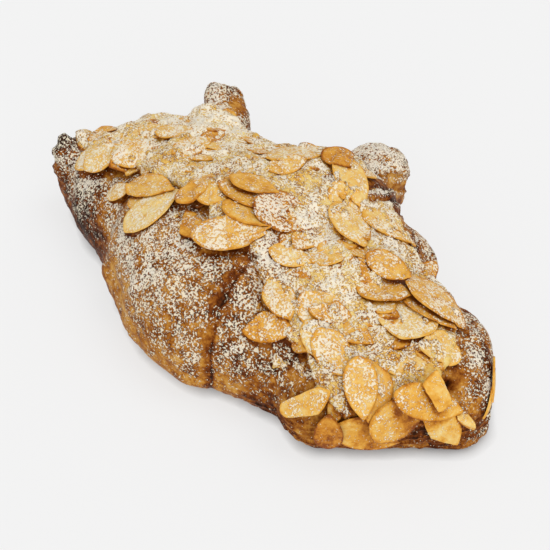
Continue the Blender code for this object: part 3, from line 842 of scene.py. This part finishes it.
sunkLook = {
    "count": 95, "seed": 5, "lengths": (7, 18), "widths": (5, 10.5), "curls": (0.2, 1.0), "cups": (0, 0.5),
    "toasts": (0.2, 0.85), "dusts": (0.2, 0.5), "twists": (-0.6, 0.6), "rests": (-0.75, 0.0),
    "tilt": 0.2, "cling": 0.55,
    "breaks": (0, 1, 2), "breakAt": (0.2, 0.8),     # how many broken edges, and how far out they lie
    # scraps: x, y, z, heading, dip, roll, then length, width, toast and dust
    "scraps": (
        (73.6, 3.5, 17.2, -46, 24, 62, 14, 4.5, 0.3, 0.05), (75.6, -1.5, 13.6, -48, 30, 66, 9, 4, 0.3, 0.1),
        (75.4, -9.5, 14.0, 5, 22, 8, 11, 2.6, 0.2, 0.05), (-58, -14, 28.0, 35, 0, 10, 9, 5, 0.25, 0.45),
        (-47, -18, 30.0, 40, 0, 12, 7, 4.5, 0.3, 0.5), (-10, 19, 38.8, 20, 0, 12, 8, 4, 0.8, 0.05),
        (-1, 21.5, 38.2, 50, 5, 15, 7, 4, 0.85, 0.05), (5, 20, 38.9, 60, 0, 12, 7, 3.5, 0.8, 0.05),
        (-54, 3, 30.0, 30, 0, 14, 8, 4.5, 0.6, 0.25), (-38, 9, 35.2, 200, 0, 12, 9, 4, 0.8, 0.1),
        (-29, -2, 38.6, 20, 0, 15, 8, 3.5, 0.8, 0.1),
    ),
    "scrapCurl": 0.6, "scrapTwist": 0.3, "scrapBroken": ((200, 0.6),),
}


def makeSunkSlices(heap):
    # slices half buried in the cream, whole and broken, and the scraps
    look = sunkLook
    low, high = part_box("almond_cream")
    dice = random.Random(look["seed"])
    tree = treeOf(cream.data)
    down = Vector((0, 0, -1))
    made = []
    while len(made) < look["count"]:
        start = Vector((dice.uniform(low.x, high.x), dice.uniform(low.y, high.y), 0.1))
        spot, normal, face, away = tree.ray_cast(start, down)
        if spot is None or normal.z < 0.3 or dough.ray_cast(start, down)[0].z > spot.z:
            continue
        tilt = look["tilt"]
        out = (normal + Vector((dice.gauss(0, tilt), dice.gauss(0, tilt), 0.1))).normalized()
        along = out.cross(Vector((dice.gauss(0, 1), dice.gauss(0, 1), 0))).normalized()
        piece = newPiece("sunkSlice", blank.data.copy())
        breaks = dice.choice(look["breaks"])
        broken = tuple((dice.uniform(0, 360), dice.uniform(*look["breakAt"])) for k in range(breaks))
        shapeSlice(piece.data, {
            "length": dice.uniform(*look["lengths"]), "width": dice.uniform(*look["widths"]),
            "curl": dice.uniform(*look["curls"]), "cup": dice.uniform(*look["cups"]),
            "toast": dice.uniform(*look["toasts"]), "dust": dice.uniform(*look["dusts"]),
            "twist": dice.uniform(*look["twists"]), "rest": dice.uniform(*look["rests"]),
            "lean": dice.uniform(*sliceLook["lean"]), "broken": broken, "cling": look["cling"],
        }, turned(along, out.cross(along), out, spot), 100 + len(made), heap)
        made.append(piece)
    for x, y, z, heading, dip, roll, length, width, toast, dust in look["scraps"]:
        piece = newPiece("scrap", blank.data.copy())
        place = Matrix.Translation(Vector((x, y, z)) * mm)
        for angle, axis in ((heading, "Z"), (dip, "Y"), (roll, "X")):
            place = place @ Matrix.Rotation(math.radians(angle), 4, axis)
        shapeSlice(piece.data, {
            "length": length, "width": width, "curl": look["scrapCurl"], "cup": sliceLook["cup"],
            "toast": toast, "dust": dust, "twist": look["scrapTwist"], "broken": look["scrapBroken"],
        }, place, 300 + len(made))
        made.append(piece)
    for piece in made:
        heap.add(piece.data)
    whole = joined(made, "sunkSlices")
    whole.data.materials.clear()
    whole.data.materials.append(almond)
    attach(whole, "root")
    return whole


def makeSlices(heap):
    look = sliceLook
    frames = {number: sliceFrame(f"almond_slice_{number:02d}") for number in look["tones"]}

    def lift(number):
        middle = np.array(frames[number][0].translation)[None]
        later = look["later"].get(number, 0) + look["hungLater"] * (number >= look["hangingFrom"])
        return (middle[0, 2] - heap.under(middle)[0]) / mm + later

    lifts = {number: lift(number) for number in frames}
    made = []
    for number in sorted(frames, key=lifts.get):
        toast, dust = look["tones"][number]
        place, length, width, curl = frames[number]
        longer, wider = look["regrown"].get(number, (1.0, 1.0))
        dice = random.Random(number)
        piece = newPiece(f"almondSlice.{number:02d}", blank.data.copy())
        hangs = number >= look["hangingFrom"]
        heading = math.degrees(math.atan2(place[1][0], place[0][0]))
        shapeSlice(piece.data, {
            "length": length * look["longer"] * longer, "width": width * look["wider"] * wider,
            "curl": curl * look["flatter"], "cup": look["cup"], "toast": toast, "dust": dust,
            "twist": dice.uniform(-0.5, 0.5), "lean": dice.uniform(*look["lean"]),
            "broken": tuple((angle - heading, cut) for angle, cut in look["broken"].get(number, ())),
            "stand": look["stand"], "rest": look["proud"].get(number, look["rest"]),
        }, place, number, None if hangs else heap)
        if not hangs:
            heap.add(piece.data)
        piece.data.materials.append(almond)
        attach(piece, "root")
        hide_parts(f"almond_slice_{number:02d}")
        made.append(piece)
    return made


blank = makeBlank()
almond = almondMaterial()
heap = Heap([crust, cream])
sunk = makeSunkSlices(heap)
print("sunk slices", sunkLook["count"], "and scraps", len(sunkLook["scraps"]))
slices = makeSlices(heap)
driftCream(heap)
bpy.data.objects.remove(blank, do_unlink=True)
print("slices", len(slices))


opennessLook = {"rays": 7, "spread": 0.55, "start": 0.12, "reach": 14}


def paintOpenness(pieces):
    # how freely sifted sugar reaches each point past the slices above it; the same measure sets the painted
    # shade in hollows
    look = opennessLook
    tree = treeOf(*[piece.data for piece in pieces])
    dice = random.Random(9)
    ways = [Vector((0, 0, 1))] + [
        Vector((dice.gauss(0, look["spread"]), dice.gauss(0, look["spread"]), 1)).normalized()
        for k in range(look["rays"] - 1)
    ]
    for piece in pieces:
        mesh = piece.data
        points, normals = pointsOf(mesh), normalsOf(mesh)
        points = points + normals * look["start"] * mm
        seen = np.zeros(len(points))
        for i, (p, n) in enumerate(zip(points.tolist(), normals.tolist())):
            start = Vector(p)
            for way in ways:
                if way.dot(n) > -0.1 and tree.ray_cast(start, way, look["reach"] * mm)[0] is None:
                    seen[i] += 1
        paint(mesh, "open", seen / look["rays"])


sugarLook = {
    "drops": 220000, "lean": 0.42, "radius": (0.12, 0.30), "height": 0.6, "perPiece": 24000,
    "clumps": ((0.9, 0.55), (4.5, 0.35)),           # size of the clumps, how strongly they show
    "shares": (1.0, 0.75, 0.6),                     # how much stays on the crust, the cream and the slices
    "least": 0.03, "weight": 1.1, "level": 0.55, "chance": 0.25,    # the dust that grains need to stay
    "uneven": (0.7, 1.3), "foot": 0.3, "seat": 0.1,
}


def siftSugar(pieces):
    # grains fall at random, a little slanted, and stay in clumps on what they meet
    look = sugarLook
    ground = treeOf(*[piece.data for piece in pieces])
    dusts, shares = [], []                          # of every face
    for k, piece in enumerate(pieces):
        dust = painting(piece.data, "dust")
        dusts += [dust[polygon.vertices[0]] for polygon in piece.data.polygons]
        shares += [look["shares"][min(k, 2)]] * len(piece.data.polygons)
    dice = random.Random(3)
    kept = []
    for k in range(look["drops"]):
        way = Vector((dice.gauss(0, look["lean"]), dice.gauss(0, look["lean"]), -1)).normalized()
        target = Vector((
            dice.uniform(cadLow.x, cadHigh.x), dice.uniform(cadLow.y, cadHigh.y),
            dice.uniform(0, 0.045),
        ))
        spot, normal, face, away = ground.ray_cast(target - way * 0.3, way)
        if spot is None or normal.z < -0.05 or dusts[face] <= look["least"]:
            continue
        clump = sum(noise.noise(spot / (size * mm)) * strength for size, strength in look["clumps"])
        wanted = dusts[face] * shares[face]
        if clump + wanted * look["weight"] - look["level"] > dice.uniform(0, look["chance"]):
            kept.append((spot, normal))
    return kept


def makeSugar(name, found, seed):
    # every grain is a small eight-sided lump
    look = sugarLook
    dice = np.random.default_rng(seed)
    count = len(found)
    place = np.array([spot for spot, normal in found])
    up = np.array([normal for spot, normal in found])
    aside = np.cross(up, dice.normal(size=(count, 3)))
    aside /= np.linalg.norm(aside, axis=1)[:, None]
    third = np.cross(up, aside)
    low, high = look["radius"]
    size = (low + (high - low) * dice.random(count) ** 1.6)[:, None] * mm
    corners = []
    for axis in (aside, third, -aside, -third):
        uneven = dice.uniform(*look["uneven"], (count, 1))
        corners.append(place + axis * size * uneven + up * size * look["seat"])
    corners.append(place + up * size * look["height"] * dice.uniform(*look["uneven"], (count, 1)))
    corners.append(place - up * size * look["foot"])
    points = np.stack(corners, axis=1).reshape(-1, 3)
    sides = [(0, 1, 4), (1, 2, 4), (2, 3, 4), (3, 0, 4), (1, 0, 5), (2, 1, 5), (3, 2, 5), (0, 3, 5)]
    faces = (np.array(sides)[None] + 6 * np.arange(count)[:, None, None]).reshape(-1, 3)
    mesh = bpy.data.meshes.new(name)
    mesh.from_pydata(points.tolist(), [], faces.tolist())
    piece = newPiece(name, mesh)
    pickOnly(piece)
    bpy.ops.object.shade_smooth()
    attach(piece, "root")
    return piece


def sugarMaterial():
    recipe = Recipe("icingSugar", (0.9, 0.87, 0.8))
    fine = recipe.speckle(1.5)
    colour = recipe.ramp(fine, (0.35, (0.88, 0.80, 0.66)), (0.65, (0.95, 0.91, 0.83)))
    return recipe.finish(colour, 0.9, Specular_IOR_Level=0.05)


surfaces = [crust, cream, sunk] + slices
paintOpenness(surfaces)
print("sugar's reach painted")
found = siftSugar(surfaces)
sugar = sugarMaterial()
chunk = sugarLook["perPiece"]
for k in range(0, len(found), chunk):
    piece = makeSugar(f"icingSugar.{k // chunk + 1}", found[k:k + chunk], k)
    piece.data.materials.append(sugar)
print("sugar grains", len(found))


studio = {
    "floorSize": 6, "floor": 0.20, "floorGlow": 0.695, "world": 0.6,
    "contact": 3.6, "contactDepth": 0.8,            # reach and strength of the painted shade round the base
    "suns": (                                       # where each comes from, its strength and its softness
        ((0.25, 0.25, 0.92), 0.7, 35), ((0.60, -0.55, 0.60), 1.1, 60),
    ),
    "aim": (6.01, -10.63, 18.99), "from": (0.5, -0.5, math.sqrt(0.5)), "distance": 523.8,
    "lens": 120, "sensor": 36,
}


def makeFloor():
    bpy.ops.mesh.primitive_plane_add(size=studio["floorSize"], location=(0, 0, 0))
    floor = bpy.context.active_object
    floor.name = "floor"
    paper = Recipe("paleFloor", (0.88, 0.88, 0.88))
    # the floor glows evenly, with a painted contact shadow where ambient occlusion finds the croissant near
    near = paper.node(
        "ShaderNodeAmbientOcclusion", {"samples": 16}, {"Distance": studio["contact"] * mm}, "AO"
    )
    contactShadedGlow = (near ** studio["contactDepth"]) * studio["floorGlow"]
    paper.feed(paper.shader.inputs["Emission Color"], paper.ramp(contactShadedGlow, (0, (0, 0, 0)), (1, (1, 1, 1))))
    grey = studio["floor"]
    floor.data.materials.append(paper.finish(
        (grey, grey, grey, 1), 0.95, Specular_IOR_Level=0.0, Emission_Strength=1.0,
    ))


def makeLights():
    world = bpy.data.worlds.new("softRoom")
    bpy.context.scene.world = world
    world.use_nodes = True
    room = world.node_tree.nodes["Background"].inputs
    room["Color"].default_value = (1, 1, 1, 1)
    room["Strength"].default_value = studio["world"]
    for source, strength, softness in studio["suns"]:
        bpy.ops.object.light_add(type="SUN")
        sun = bpy.context.active_object
        sun.data.energy = strength
        sun.data.angle = math.radians(softness)
        sun.rotation_euler = Vector(source).to_track_quat("Z", "Y").to_euler()


def makeCamera():
    look = Vector(studio["from"])
    bpy.ops.object.camera_add(location=Vector(studio["aim"]) * mm + look * studio["distance"] * mm)
    camera = bpy.context.active_object
    camera.rotation_euler = look.to_track_quat("Z", "Y").to_euler()
    camera.data.lens = studio["lens"]
    camera.data.sensor_width = studio["sensor"]
    bpy.context.scene.camera = camera
    bpy.context.scene.view_settings.view_transform = "Standard"


makeFloor()
makeLights()
makeCamera()
